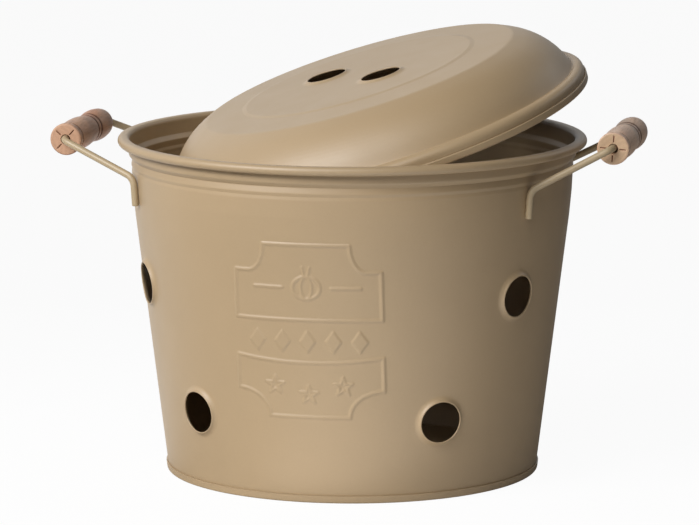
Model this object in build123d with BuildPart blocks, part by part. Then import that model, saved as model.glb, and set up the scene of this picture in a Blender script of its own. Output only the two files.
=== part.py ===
from build123d import *
from math import atan2, cos, pi, radians, sin, sqrt, tan
import os

# Onion storage canister: a tapered pail of pressed steel with vent holes, two wire handles
# with turned wooden grips, and a pressed lid that lies ajar on the rolled rim.
# +Z is up, the plaque faces -Y, the handles stand out along -X and +X, and the origin is on
# the floor under the middle of the pail. All lengths are in millimetres, angles in degrees.

os.makedirs("parts", exist_ok=True)

# Sheet and fits
sheet = 0.8  # coated steel sheet of the wall, the bottom and the lid
fold_clearance = 0.12  # play between layers of sheet that are folded over each other
lap_thickness = 0.5  # how far the lapped side seam stands off the wall
lap_width = 9.0

# Wall, outer surface
wall_radius_at_floor = 106.6
wall_flare = 0.1234  # radius gained for each millimetre of height
cone_height = 150.0  # above this the wall steepens towards the neck
cone_top_bend = 30.0
shoulder_height = 14.0  # from the top of the cone to the shoulder
shoulder_gain = 1.3  # radius gained on the way
shoulder_bend = 12.0

# Neck, upwards from the shoulder: heights, and how much each outer radius grows
neck_foot_height = 10.3
neck_foot_gain = 0.49
crease_height = 1.8
crease_depth = 0.3
bead_height = 1.8
bead_gain = 0.9
groove_height = 3.1
groove_depth = 1.5
neck_height = 2.8  # from the bottom of the groove to the foot of the neck band
neck_gain = 2.7
neck_bend = 1.2

# Rolled rim: a flattened curl on top of the neck band
neck_band_height = 10.2  # from the foot of the neck band to the top of the rim
neck_draw = 0.3  # how much the neck band narrows up to the rim
rim_height = 5.1
rim_width = 7.4
rim_flat = 0.04  # height of the straight piece left between the bends of the curl
curl_end_gap = 0.6  # between the cut edge of the curl and the neck band

# Bottom disc and the hem it folds round the foot of the wall
bottom_z = 5.0  # upper face of the bottom
bottom_bend = 1.4
hem_height = 4.3
hem_flat = 0.08  # half the width of the ring that the pail stands on
wall_edge_lift = 0.45  # the cut edge of the wall above the inside of the hem

# Vent holes of the wall: azimuth from the front, and height
vent_d = 22.4
vent_collar_wall = 1.1
vent_collar_height = 2.2
vent_collar_fillet = 3.0
vent_lower_z = 45.8
vent_upper_z = 113.2
vent_lower_azimuth = 38.0
vent_upper_azimuth = 62.0
vent_trim_depth = 5.6  # how far a vent is cut in from the wall, past the sheet
collar_taper = 35.0  # how far the side of a collar leans, here and on the lid
lip_round = 0.35  # of the rolled lips of the collars on the wall

# Plaque pressed into the front of the wall, as raised lines, downwards from the cone's top
plaque_relief = 0.55
plaque_line = 1.7
plaque_drop = 1.0  # from the top of the cone to the plaque
plaque_half_width = 41.3
plaque_top_half = 24.6  # half length of the top line
plaque_bottom_half = 22.6  # half length of the bottom line
plaque_shoulder = 7.7  # length of the short level line beside a top corner
top_corner_height = 15.6
upper_panel_height = 27.4  # below the top corners, down to the middle band
band_height = 21.8
band_sag = 2.8
lower_panel_height = 19.2  # below the middle band, down to the bottom corners
bottom_corner_height = 15.0
star_radius = 6.6
star_line = 1.1
star_pitch = 19.3
star_drop = 16.2  # from the middle band to the middle of the outer stars
middle_star_drop = 5.0
lozenge_count = 5
lozenge_pitch = 14.5
lozenge_half_width = 4.6
lozenge_half_height = 6.6
bulb_rise = 18.5  # from the middle band to the middle of the bulb
bulb_half_width = 8.6
bulb_half_height = 7.2
bulb_core_half_width = 3.6
bulb_neck_height = 4.6
bulb_neck_lean = 2.2
rule_start = 14.0
rule_length = 16.0

# Handle wires
wire_d = 4.0
foot_azimuth = 62.6  # of the two feet, from the front and from the back
foot_bend_drop = 0.8  # the bend above a foot, below the foot of the neck
foot_length = 16.0
foot_bend_radius = 7.0
foot_stand_off = 0.25  # between the wire and the wall, filled at the welds
wire_end_round = 0.5
corner_radius = 5.5
corner_play = 0.6  # straight wire left beyond each end of the grip
right_reach = 23.0  # from the rim out to the wire inside the grip
right_lift = 2.2  # from the top of the rim up to that wire
left_reach = 25.0
left_lift = -1.8

# Welds of the feet
weld_d = 3.0
weld_end_gap = 2.8  # from the end of a foot to its first weld
weld_pitch = 6.5
weld_count = 2

# Wooden grips, measured from the front end
grip_length = 80.0
grip_bore_play = 1.6  # how much wider the bore is than the wire
grip_rest_gap = 0.3  # the bore hangs on the wire with this much left between them
grip_face_radius = 8.8
grip_face_round = 0.5
grip_end_radius = 9.2
grip_first_groove = 8.2
grip_groove_radius = 8.1
grip_groove_half_width = 1.0
grip_barrel_end_radius = 8.6
grip_barrel_radius = 9.1
grip_double_groove = 43.5
grip_double_pitch = 6.6
grip_double_radius = 7.7
grip_double_half_width = 1.3
grip_far_radius = 9.2
grip_tail_length = 6.0
grip_tail_bulge = 1.1  # of the rounded tail, off the straight line between its ends
grip_tail_radius = 6.2
spur_count = 4
spur_gap = 0.7  # from the bore to the spur marks
spur_length = 3.9
spur_width = 0.9
spur_depth = 1.1
left_spur_turn = 42.0
right_spur_turn = 4.0

# Lid, middle of the sheet: inwards from its wall, and upwards from the edge of its hem
lid_play = 1.2  # how much smaller than the rim the hem is, in radius
lid_hem_height = 4.2
lid_bead_z = 10.05  # crest of the bead
lid_bead_bend = 3.5
lid_bead_crest = 0.3  # flat part of the crest
lid_bead_foot = 1.8  # from the crest in to the valley
lid_valley_depth = 0.55
lid_valley_bend = 1.4
lid_skirt_run = 8.9  # from the valley in to the corner of the skirt
lid_skirt_rise = 18.7
lid_skirt_bend = 42.0
lid_crown_run = 18.6  # from the skirt's corner in to the edge of the crown
lid_crown_rise = 8.7
lid_crown_bend = 9.0
lid_ring_run = 23.0  # from the edge of the crown in to the pressed ring
lid_ring_rise = 1.1
lid_step_run = 1.5
lid_step_rise = 0.6
lid_step_bend = 1.0
lid_fold_flat = 0.02  # width of the straight piece left under the fold of the hem
finger_hole_d = 23.2
finger_pitch = 52.4
finger_turn = -66.5  # of the line through both holes, from the raised side of the lid
finger_shift = -2.5
finger_collar_height = 1.6
finger_collar_wall = 1.0
finger_collar_fillet = 2.4

# How the lid lies ajar
lid_lean = 17.3
lid_lean_azimuth = 26.1  # direction of its raised side, from +X towards +Y
lid_edge_drop = 3.0  # from the top of the rim to the middle of the hem
lid_side_gap = 0.33  # left at the two places where the hem bears on the rim


def wall_radius(z):
    """Outer radius of the cone of the wall at height z."""
    return wall_radius_at_floor + wall_flare * z


half = sheet / 2

# Heights and outer radii of the wall above its cone
shoulder_z = cone_height + shoulder_height
neck_foot_z = shoulder_z + neck_foot_height
crease_z = neck_foot_z + crease_height
bead_z = crease_z + bead_height
groove_z = bead_z + groove_height
neck_z = groove_z + neck_height
rim_top_z = neck_z + neck_band_height
cone_top_radius = wall_radius(cone_height)
shoulder_radius = cone_top_radius + shoulder_gain
neck_foot_radius = shoulder_radius + neck_foot_gain
crease_radius = neck_foot_radius - crease_depth
bead_radius = crease_radius + bead_gain
groove_radius = bead_radius - groove_depth
neck_radius = groove_radius + neck_gain
rim_inner_radius = neck_radius - sheet - neck_draw
rim_outer_radius = rim_inner_radius + rim_width

# Middle line of the wall, from its cut lower edge to the end of the curl
wall_edge_z = sheet + wall_edge_lift
curl_bottom_z = rim_top_z - rim_height + half
curl_bend = (rim_height - sheet - rim_flat) / 2
wall_line = [
    (wall_radius(wall_edge_z) - half, wall_edge_z),
    (cone_top_radius - half, cone_height),
    (shoulder_radius - half, shoulder_z),
    (neck_foot_radius - half, neck_foot_z),
    (crease_radius - half, crease_z),
    (bead_radius - half, bead_z),
    (groove_radius - half, groove_z),
    (neck_radius - half, neck_z),
    (rim_inner_radius + half, rim_top_z - half),
    (rim_outer_radius - half, rim_top_z - half),
    (rim_outer_radius - half, curl_bottom_z),
    (neck_radius + curl_end_gap, curl_bottom_z),
]
wall_bends = [cone_top_bend, shoulder_bend] + [neck_bend] * 5 + [curl_bend] * 3

with BuildPart() as wall_tube:
    with BuildSketch(Plane.XZ):
        with BuildLine():
            FilletPolyline(*wall_line, radius=wall_bends)
        trace(line_width=sheet)
    revolve(axis=Axis.Z)


def skin(line, outward):
    """Ring from half the sheet deep in the wall to a distance outward of an outer line."""
    outer = [(r + outward, z) for r, z in line]
    inner = [(r - half, z) for r, z in reversed(line)]
    with BuildPart() as ring:
        with BuildSketch(Plane.XZ):
            with BuildLine():
                Polyline(*outer, *inner, close=True)
            make_face()
        revolve(axis=Axis.Z)
    return ring.part


# The space inside the cone of the wall, which trims the collars raised on its outside
with BuildPart() as inner_core:
    with BuildSketch(Plane.XZ):
        with BuildLine():
            Polyline(
                (0, 0),
                (wall_radius(0) - sheet, 0),
                (cone_top_radius - sheet, cone_height),
                (0, cone_height),
                close=True,
            )
        make_face()
    revolve(axis=Axis.Z)


def wall_plane(azimuth, z):
    """Plane square to the wall at an azimuth from the front, with its origin on the wall."""
    a = radians(azimuth)
    r = wall_radius(z)
    return Plane(
        origin=(r * sin(a), -r * cos(a), z),
        x_dir=(cos(a), sin(a), 0),
        z_dir=(sin(a), -cos(a), -wall_flare),
    )


def ring_edges(part, plane, radii, heights):
    """Edges of a part that run round a plane's axis, between two radii and two heights."""
    found = ShapeList()
    for edge in part.edges():
        spots = [plane.to_local_coords(edge @ t) for t in (0.1, 0.4, 0.8)]
        near = [radii[0] < sqrt(p.X**2 + p.Y**2) < radii[1] for p in spots]
        level = [heights[0] < p.Z < heights[1] for p in spots]
        if all(near) and all(level):
            found.append(edge)
    return found


vent_planes = []
for azimuth, z in ((vent_lower_azimuth, vent_lower_z), (vent_upper_azimuth, vent_upper_z)):
    for turned in (azimuth, -azimuth, 180 - azimuth, azimuth - 180):
        vent_planes.append(wall_plane(turned, z))

vent_radius = vent_d / 2
collar_radius = vent_radius + vent_collar_wall
collar_foot_radius = collar_radius + vent_collar_height * tan(radians(collar_taper))

with BuildPart() as vent_collars:
    for plane in vent_planes:
        with BuildSketch(plane.offset(vent_collar_height)):
            Circle(collar_radius)
        extrude(amount=-vent_trim_depth - vent_collar_height, taper=-collar_taper)
    add(inner_core.part, mode=Mode.SUBTRACT)

# Heights of the plaque's lines
plaque_top_z = cone_height - plaque_drop
top_corner_z = plaque_top_z - top_corner_height
band_top_z = top_corner_z - upper_panel_height
band_bottom_z = band_top_z - band_height
bottom_corner_z = band_bottom_z - lower_panel_height
plaque_bottom_z = bottom_corner_z - bottom_corner_height
band_middle_z = (band_top_z + band_bottom_z - band_sag) / 2
bulb_z = band_top_z + bulb_rise
bulb_top_z = bulb_z + bulb_half_height
star_z = band_bottom_z - star_drop
star_hole_radius = star_radius - star_line / cos(2 * pi / 5)


def star_corners(x, z, radius):
    """Corners of an upright five-pointed star."""
    dent = radius * cos(2 * pi / 5) / cos(pi / 5)
    corners = []
    for i in range(10):
        a = pi / 2 + i * pi / 5
        reach = radius if i % 2 == 0 else dent
        corners.append((x + reach * cos(a), z + reach * sin(a)))
    return corners


def hollow_arc(side_point, level_point):
    """Quarter of an ellipse from the side line in to a level line, hollow to the outside."""
    (x_side, z_side), (x_level, z_level) = side_point, level_point
    bow = 1 / sqrt(2)
    middle = (x_side + (x_level - x_side) * bow, z_level + (z_side - z_level) * bow)
    ThreePointArc(side_point, middle, level_point)


plaque_line_ring = [(wall_radius(z), z) for z in (vent_lower_z / 2, cone_height + sheet)]
relief_skin = skin(plaque_line_ring, plaque_relief)

# Raised lines of the plaque, drawn flat and pressed onto the wall along Y
with BuildPart() as plaque:
    with BuildSketch(Plane.XZ):
        with BuildLine():
            Line((0, band_top_z), (plaque_half_width, band_top_z))
            Line((plaque_half_width, band_top_z), (plaque_half_width, top_corner_z))
            shoulder_x = plaque_half_width - plaque_shoulder
            Line((plaque_half_width, top_corner_z), (shoulder_x, top_corner_z))
            hollow_arc((shoulder_x, top_corner_z), (plaque_top_half, plaque_top_z))
            Line((plaque_top_half, plaque_top_z), (0, plaque_top_z))
            mirror(about=Plane.YZ)
        trace(line_width=plaque_line)
        with BuildLine():
            ThreePointArc(
                (-plaque_half_width, band_bottom_z),
                (0, band_bottom_z - band_sag),
                (plaque_half_width, band_bottom_z),
            )
        trace(line_width=plaque_line)
        with BuildLine():
            Line((plaque_half_width, band_bottom_z), (plaque_half_width, bottom_corner_z))
            hollow_arc((plaque_half_width, bottom_corner_z), (plaque_bottom_half, plaque_bottom_z))
            Line((plaque_bottom_half, plaque_bottom_z), (0, plaque_bottom_z))
            mirror(about=Plane.YZ)
        trace(line_width=plaque_line)
        for k in (-1, 0, 1):
            place = (k * star_pitch, star_z - (middle_star_drop if k == 0 else 0))
            with BuildLine():
                Polyline(*star_corners(*place, star_radius), close=True)
            make_face()
            with BuildLine():
                Polyline(*star_corners(*place, star_hole_radius), close=True)
            make_face(mode=Mode.SUBTRACT)
        for i in range(lozenge_count):
            x = (i - (lozenge_count - 1) / 2) * lozenge_pitch
            with BuildLine():
                Polyline(
                    (x + lozenge_half_width, band_middle_z),
                    (x, band_middle_z + lozenge_half_height),
                    (x - lozenge_half_width, band_middle_z),
                    (x, band_middle_z - lozenge_half_height),
                    close=True,
                )
            make_face()
        with Locations((0, bulb_z)):
            inner_half_height = bulb_half_height - plaque_line
            Ellipse(bulb_half_width, bulb_half_height)
            Ellipse(bulb_half_width - plaque_line, inner_half_height, mode=Mode.SUBTRACT)
            Ellipse(bulb_core_half_width, bulb_half_height)
            Ellipse(bulb_core_half_width - star_line, inner_half_height, mode=Mode.SUBTRACT)
        for side in (-1, 1):
            with BuildLine():
                Line(
                    (side * plaque_line / 2, bulb_top_z - plaque_line / 2),
                    (side * bulb_neck_lean, bulb_top_z + bulb_neck_height),
                )
            trace(line_width=star_line)
            with BuildLine():
                Line((side * rule_start, bulb_z), (side * (rule_start + rule_length), bulb_z))
            trace(line_width=plaque_line)
    extrude(amount=rim_outer_radius)
    add(relief_skin, mode=Mode.INTERSECT)

# Side seam at the back, where the two ends of the rolled sheet lap
seam_bottom_z = hem_height + sheet
seam_line = [
    (wall_radius(seam_bottom_z), seam_bottom_z),
    (cone_top_radius, cone_height),
    (shoulder_radius, shoulder_z),
    (neck_foot_radius, neck_foot_z),
]
seam_skin = skin(seam_line, lap_thickness)

with BuildPart() as side_seam:
    with BuildSketch(Plane.XY):
        with Locations((0, rim_outer_radius / 2)):
            Rectangle(lap_width, rim_outer_radius)
    extrude(amount=neck_foot_z)
    add(seam_skin, mode=Mode.INTERSECT)

with BuildPart() as body_shell:
    add(wall_tube.part)
    add(vent_collars.part)
    roots = ShapeList()
    for plane in vent_planes:
        around = (collar_radius, collar_foot_radius + vent_collar_height)
        roots += ring_edges(body_shell.part, plane, around, (-sheet - half, half))
    fillet(roots, vent_collar_fillet)
    for plane in vent_planes:
        with BuildSketch(plane.offset(-vent_trim_depth)):
            Circle(vent_radius)
        extrude(amount=vent_trim_depth + 2 * vent_collar_height, mode=Mode.SUBTRACT)
    lips = ShapeList()
    for plane in vent_planes:
        around = (vent_radius - half, collar_radius + half)
        level = (vent_collar_height - half, vent_collar_height + half)
        lips += ring_edges(body_shell.part, plane, around, level)
    fillet(lips, lip_round)
    add(side_seam.part)
    add(plaque.part)
body_shell.part.label = "body_shell"

# Bottom disc: panel, leg down inside the wall, fold under its edge and leg up outside
slope = sqrt(1 + wall_flare**2)
leg_shift = (sheet + fold_clearance) * slope  # from the middle of the wall to a leg's middle
hem_bend = leg_shift - hem_flat


def hem_line_radius(z, side):
    """Middle-line radius of the hem's leg inside (side -1) or outside (side 1) the wall."""
    return wall_radius(z) - half * slope + side * leg_shift


with BuildPart() as bottom_disc:
    with BuildSketch(Plane.XZ):
        with BuildLine():
            FilletPolyline(
                (0, bottom_z - half),
                (hem_line_radius(bottom_z - half, -1), bottom_z - half),
                (hem_line_radius(half, -1), half),
                (hem_line_radius(half, 1), half),
                (hem_line_radius(hem_height, 1), hem_height),
                radius=[bottom_bend, hem_bend, hem_bend],
            )
        trace(line_width=sheet)
    revolve(axis=Axis.Z)
bottom_disc.part.label = "bottom_disc"

# Handle wires: each foot runs straight along the wall where it steepens under the neck
foot_bend_z = neck_foot_z - foot_bend_drop
foot_end_z = foot_bend_z - foot_length
foot_low_share = (foot_end_z - cone_height) / shoulder_height
foot_low_radius = cone_top_radius + shoulder_gain * foot_low_share


def foot_point(side, end, z, inward=0):
    """Point of a foot's middle line: side -1 left or 1 right, end -1 front or 1 back."""
    a = radians(foot_azimuth)
    along = (z - foot_end_z) / foot_length
    wall = foot_low_radius + (neck_foot_radius - foot_low_radius) * along
    r = wall + foot_stand_off + wire_d / 2 - inward
    return Vector(side * r * sin(a), end * r * cos(a), z)


def handle_points(side, reach, lift):
    """The wire's middle line from its front foot over the grip to its back foot."""
    x = side * (rim_outer_radius + reach)
    z = rim_top_z + lift
    grip_end = grip_length / 2 + corner_play
    arm = foot_point(side, -1, foot_bend_z) - Vector(x, -grip_end - corner_radius, z)
    turn = atan2(sqrt(arm.X**2 + arm.Z**2), -arm.Y)
    corner_y = grip_end + corner_radius * tan(turn / 2)
    return [
        foot_point(side, -1, foot_end_z),
        foot_point(side, -1, foot_bend_z),
        Vector(x, -corner_y, z),
        Vector(x, corner_y, z),
        foot_point(side, 1, foot_bend_z),
        foot_point(side, 1, foot_end_z),
    ]


def handle_wire(side, reach, lift):
    """Round steel rod bent to a handle."""
    bends = [foot_bend_radius, corner_radius, corner_radius, foot_bend_radius]
    with BuildPart() as wire:
        with BuildLine() as route:
            FilletPolyline(*handle_points(side, reach, lift), radius=bends)
        with BuildSketch(Plane(origin=route.line @ 0, z_dir=route.line % 0)):
            Circle(wire_d / 2)
        sweep(path=route.line)
        fillet(wire.part.faces().filter_by(GeomType.PLANE).edges(), wire_end_round)
    return wire.part


def foot_welds(side, wire):
    """Weld nuggets that join the feet of a wire to the wall."""
    with BuildPart() as welds:
        for end in (-1, 1):
            for i in range(weld_count):
                z = foot_end_z + weld_end_gap + i * weld_pitch
                spot = foot_point(side, end, z)
                root = foot_point(side, end, z, wire_d / 2 + foot_stand_off + half)
                with BuildSketch(Plane(origin=root, z_dir=spot - root)):
                    Circle(weld_d / 2)
                extrude(amount=(spot - root).length)
        add(body_shell.part, mode=Mode.SUBTRACT)
        add(wire, mode=Mode.SUBTRACT)
    return welds.part


right_wire = handle_wire(1, right_reach, right_lift)
right_wire.label = "right_handle_wire"
left_wire = handle_wire(-1, left_reach, left_lift)
left_wire.label = "left_handle_wire"
right_welds = foot_welds(1, right_wire)
right_welds.label = "right_handle_welds"
left_welds = foot_welds(-1, left_wire)
left_welds.label = "left_handle_welds"

# Outline of the grips as (radius, distance from the front end)
bore_radius = (wire_d + grip_bore_play) / 2
first_groove = [
    (grip_face_radius, grip_first_groove - grip_groove_half_width),
    (grip_groove_radius, grip_first_groove),
    (grip_barrel_end_radius, grip_first_groove + grip_groove_half_width),
]
double_groove = []
for middle in (grip_double_groove, grip_double_groove + grip_double_pitch):
    double_groove += [
        (grip_barrel_end_radius, middle - grip_double_half_width),
        (grip_double_radius, middle),
        (grip_barrel_end_radius, middle + grip_double_half_width),
    ]
tail_start = (grip_barrel_end_radius, grip_length - grip_tail_length)
tail_end = (grip_tail_radius, grip_length)


def bulged(start, radius, end):
    """Arc from start to end over a highest radius half way."""
    ThreePointArc(start, (radius, (start[1] + end[1]) / 2), end)


def grip(side, reach, lift, spur_turn):
    """Turned wooden grip with its front end at -Y, bored through, hanging on its wire."""
    x = side * (rim_outer_radius + reach)
    z = rim_top_z + lift - (grip_bore_play / 2 - grip_rest_gap)
    front = Plane(origin=(x, -grip_length / 2, z), x_dir=(1, 0, 0), z_dir=(0, 1, 0))
    outline = Plane(origin=front.origin, x_dir=(1, 0, 0), z_dir=(0, 0, 1))
    face_corner = (grip_face_radius, grip_face_round)
    with BuildPart() as handle:
        with BuildSketch(outline):
            with BuildLine():
                Polyline((bore_radius, 0), (grip_face_radius - grip_face_round, 0), face_corner)
                bulged(face_corner, grip_end_radius, first_groove[0])
                Polyline(*first_groove)
                bulged(first_groove[-1], grip_barrel_radius, double_groove[0])
                Polyline(*double_groove)
                bulged(double_groove[-1], grip_far_radius, tail_start)
                bulged(tail_start, (tail_start[0] + tail_end[0]) / 2 + grip_tail_bulge, tail_end)
                Polyline(tail_end, (bore_radius, grip_length), (bore_radius, 0))
            make_face()
        revolve(axis=Axis(front.origin, (0, 1, 0)))
        with BuildSketch(front):
            middle = bore_radius + spur_gap + spur_length / 2
            with PolarLocations(middle, spur_count, start_angle=spur_turn):
                Rectangle(spur_length, spur_width)
        extrude(amount=spur_depth, mode=Mode.SUBTRACT)
    return handle.part


right_grip = grip(1, right_reach, right_lift, right_spur_turn)
right_grip.label = "right_grip"
left_grip = grip(-1, left_reach, left_lift, left_spur_turn)
left_grip.label = "left_grip"

# Lid, built about its own axis. It leans, and has slid towards its raised side until its hem
# bears on the rim at both ends of its level diameter.
lean = radians(lid_lean)
lean_to = radians(lid_lean_azimuth)
lid_radius = rim_inner_radius - lid_play
lid_offset = sqrt((rim_inner_radius - lid_side_gap) ** 2 - lid_radius**2)
lid_plane = Plane(
    origin=(lid_offset * cos(lean_to), lid_offset * sin(lean_to), rim_top_z - lid_edge_drop),
    x_dir=(cos(lean) * cos(lean_to), cos(lean) * sin(lean_to), sin(lean)),
    z_dir=(-sin(lean) * cos(lean_to), -sin(lean) * sin(lean_to), cos(lean)),
)
lid_section = Plane(origin=lid_plane.origin, x_dir=lid_plane.x_dir, z_dir=-lid_plane.y_dir)

# Middle line of the lid, from its centre out to the end of the hem
hem_layer = sheet + fold_clearance
hem_line = lid_radius - half
lid_wall = hem_line - hem_layer
crest_radius = lid_wall - lid_bead_bend - lid_bead_crest
valley_radius = crest_radius - lid_bead_foot
skirt_radius = valley_radius - lid_skirt_run
crown_radius = skirt_radius - lid_crown_run
ring_radius = crown_radius - lid_ring_run
valley_z = lid_bead_z - lid_valley_depth
skirt_z = valley_z + lid_skirt_rise
crown_z = skirt_z + lid_crown_rise
ring_z = crown_z + lid_ring_rise
panel_z = ring_z + lid_step_rise
fold_bend = (hem_layer - lid_fold_flat) / 2
lid_line = [
    (0, panel_z),
    (ring_radius - lid_step_run, panel_z),
    (ring_radius, ring_z),
    (crown_radius, crown_z),
    (skirt_radius, skirt_z),
    (valley_radius, valley_z),
    (crest_radius, lid_bead_z),
    (lid_wall, lid_bead_z),
    (lid_wall, half),
    (hem_line, half),
    (hem_line, lid_hem_height),
]
lid_bends = [lid_step_bend, lid_step_bend, lid_crown_bend, lid_skirt_bend, lid_valley_bend]
lid_bends += [lid_step_bend, lid_bead_bend, fold_bend, fold_bend]

finger_radius = finger_hole_d / 2
finger_angle = radians(finger_turn)
finger_half = Vector(cos(finger_angle), sin(finger_angle)) * (finger_pitch / 2)
finger_spots = [Vector(finger_shift, 0) - finger_half, Vector(finger_shift, 0) + finger_half]
panel_top_plane = lid_plane.offset(panel_z + half)

with BuildPart() as lid_shell:
    with BuildSketch(lid_section):
        with BuildLine():
            FilletPolyline(*lid_line, radius=lid_bends)
        trace(line_width=sheet)
    revolve(axis=Axis(lid_plane.origin, lid_plane.z_dir))
    with BuildSketch(panel_top_plane.offset(finger_collar_height)):
        with Locations(*finger_spots):
            Circle(finger_radius + finger_collar_wall)
    extrude(amount=-half - finger_collar_height, taper=-collar_taper)
    collar_roots = ShapeList()
    for spot in finger_spots:
        origin = panel_top_plane.from_local_coords(spot)
        plane = Plane(origin=origin, x_dir=lid_plane.x_dir, z_dir=lid_plane.z_dir)
        around = (finger_radius + finger_collar_wall, finger_hole_d)
        collar_roots += ring_edges(lid_shell.part, plane, around, (-half / 2, half / 2))
    fillet(collar_roots, finger_collar_fillet)
    with BuildSketch(panel_top_plane.offset(-2 * sheet)):
        with Locations(*finger_spots):
            Circle(finger_radius)
    extrude(amount=2 * sheet + 2 * finger_collar_height, mode=Mode.SUBTRACT)
lid_shell.part.label = "lid_shell"

export_step(body_shell.part, "parts/body_shell.step")
export_step(bottom_disc.part, "parts/bottom_disc.step")
export_step(right_wire, "parts/right_handle_wire.step")
export_step(left_wire, "parts/left_handle_wire.step")
export_step(right_welds, "parts/right_handle_welds.step")
export_step(left_welds, "parts/left_handle_welds.step")
export_step(right_grip, "parts/right_grip.step")
export_step(left_grip, "parts/left_grip.step")
export_step(lid_shell.part, "parts/lid_shell.step")
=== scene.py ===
from math import atan2, ceil, cos, pi, radians, sin, sqrt, tan
import bpy
import numpy as np
from mathutils import Matrix, Vector
from mathutils.geometry import tessellate_polygon


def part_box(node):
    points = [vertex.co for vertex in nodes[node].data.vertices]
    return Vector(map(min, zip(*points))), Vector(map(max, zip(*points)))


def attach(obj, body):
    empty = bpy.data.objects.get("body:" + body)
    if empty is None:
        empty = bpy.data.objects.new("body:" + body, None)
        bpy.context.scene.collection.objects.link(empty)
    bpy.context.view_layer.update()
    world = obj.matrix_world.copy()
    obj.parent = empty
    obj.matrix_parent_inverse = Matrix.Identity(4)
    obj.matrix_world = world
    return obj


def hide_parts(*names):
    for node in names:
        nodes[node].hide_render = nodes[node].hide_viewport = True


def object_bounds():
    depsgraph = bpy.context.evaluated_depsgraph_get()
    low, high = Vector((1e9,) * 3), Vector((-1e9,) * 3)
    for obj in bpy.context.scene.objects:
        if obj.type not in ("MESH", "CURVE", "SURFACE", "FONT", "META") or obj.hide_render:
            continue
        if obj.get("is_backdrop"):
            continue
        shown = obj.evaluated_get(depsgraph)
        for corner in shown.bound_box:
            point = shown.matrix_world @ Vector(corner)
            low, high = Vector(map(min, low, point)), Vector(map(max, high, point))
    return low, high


# Onion storage canister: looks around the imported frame. Blender's lengths are in metres, and
# the sizes of the pressed sheet and the grips are given in millimetres. The plaque faces -Y.

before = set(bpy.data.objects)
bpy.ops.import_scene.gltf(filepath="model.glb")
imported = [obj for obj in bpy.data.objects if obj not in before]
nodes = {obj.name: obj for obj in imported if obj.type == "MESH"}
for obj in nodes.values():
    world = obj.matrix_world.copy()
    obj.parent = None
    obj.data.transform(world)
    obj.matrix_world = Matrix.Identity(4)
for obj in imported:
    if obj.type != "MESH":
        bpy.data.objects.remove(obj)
cad_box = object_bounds()
mm = 0.001

# Camera, fitted to the ellipses of the rim and the foot in the photograph
photo_width = 699
view_azimuth = radians(12.2)
view_elevation = radians(9.401)
view_distance = 2.7339
focal_pixels = 4729.4
sensor_width = 36.0
aim_side = -0.00166
aim_height = 0.1192
camera_clip_end = 50.0

# Colours, linear
white = (1.0, 1.0, 1.0, 1.0)
coat_colour = (0.415, 0.296, 0.168)
wire_colour = (0.430, 0.328, 0.195)
# Side tones of the grips: the wood's own mottle and blush, lifted above its tone as painted light for the
# shade on the turned sides
wood_side_colours_with_painted_light = {
    "left": ((0.600, 0.350, 0.215), (0.400, 0.238, 0.160), (0.500, 0.220, 0.110)),
    "right": ((0.800, 0.545, 0.380), (0.590, 0.420, 0.320), (0.620, 0.330, 0.195)),
}
wood_end_colours = {"left": (0.540, 0.315, 0.195), "right": (0.540, 0.365, 0.225)}
wood_heart_turns = {"left": radians(20), "right": radians(140)}
spur_turns = {"left": radians(42), "right": radians(4)}
wood_speck_colour = (0.360, 0.170, 0.080)
wood_groove_colour = (0.090, 0.038, 0.022)
wood_dark_colour = (0.120, 0.055, 0.034)
wood_spur_colour = (0.200, 0.085, 0.040)

# Noise, which varies about 0.5: the range that makes a whole swing, and for each texture that
# lies over another where it begins to show, where it shows most, and how strongly
noise_range = (0.3, 0.7)
dust_show = (0.25, 0.75, 0.14)
mottle_show = (0.40, 0.62, 1.0)
blush_show = (0.50, 0.66, 0.75)
streak_show = (0.50, 0.72, 0.40)
fibre_show = (0.56, 0.70, 0.35)
pore_show = (0.60, 0.70, 0.5)

# Powder coat: how glossy it is, and the features of its textures in each metre
sheet_roughness = 0.49
wire_roughness = 0.46
roughness_swing = 0.02
coat_specular = 0.8
cloud_scale = 22.0
cloud_swing = 0.015
dust_scale = 900.0
dust_shade = 0.80
satin_scale = 60.0
peel_scale = 480.0
grit_scale = 1900.0
grit_height = 0.35  # share of the height of the orange peel
coat_bump = {"Strength": 0.25, "Distance": 0.00012}

# Turned wood: features of its textures in each metre, and their share of that along the grip
fibre_scale = 1500.0
streak_scale = 420.0
wander_scale = 130.0
drawn_out = 0.07
mottle_scale = 95.0
blush_scale = 60.0
mottle_drawn_out = 0.35
pore_scale = 1100.0
streak_shade = 0.6
streak_height = 0.5  # share of the height of the fibres
end_facing = (0.75, 0.97)  # share of the normal along the grip, where side grain turns to end grain
wood_roughness = (0.42, 0.60)
wood_specular = 0.5
wood_bump = {"Strength": 0.35, "Distance": 0.0002}

# Growth rings in the ends of the grips, in metres, about a heart beside the grip, and their tone
heart_offset = 0.017
ring_spacing = 0.0031
ring_wander = 0.006
ring_strength = 0.6
ring_shade = 0.86

# Shade in the grooves and the spur marks of the grips, in millimetres
groove_shades = [(8.4, 1.5), (43.9, 2.1), (50.5, 2.1)]  # distance from the front end, half width
groove_dark_radius = 8.0
groove_pale_radius = 8.8
groove_dark_share = 0.95
groove_pale_share = 0.40
groove_core = 0.35  # share of the half width that is dark throughout
spur_shade_near = (0.1, 0.3)  # depth at which the shade begins
spur_shade_far = (1.4, 1.6)  # and at which it ends
spur_shade_radius = (7.7, 7.9)

# Studio as seen in gloss: bright on one side, by azimuth from the front, and dark on the other
bright_azimuth = -130.0
gloss_edge = (0.3, 0.85)  # cosines of the turn away from that side, where dark ends and bright begins
dark_gloss = 0.10
floor_gloss = 1.25
world_gloss = 1.15
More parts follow.
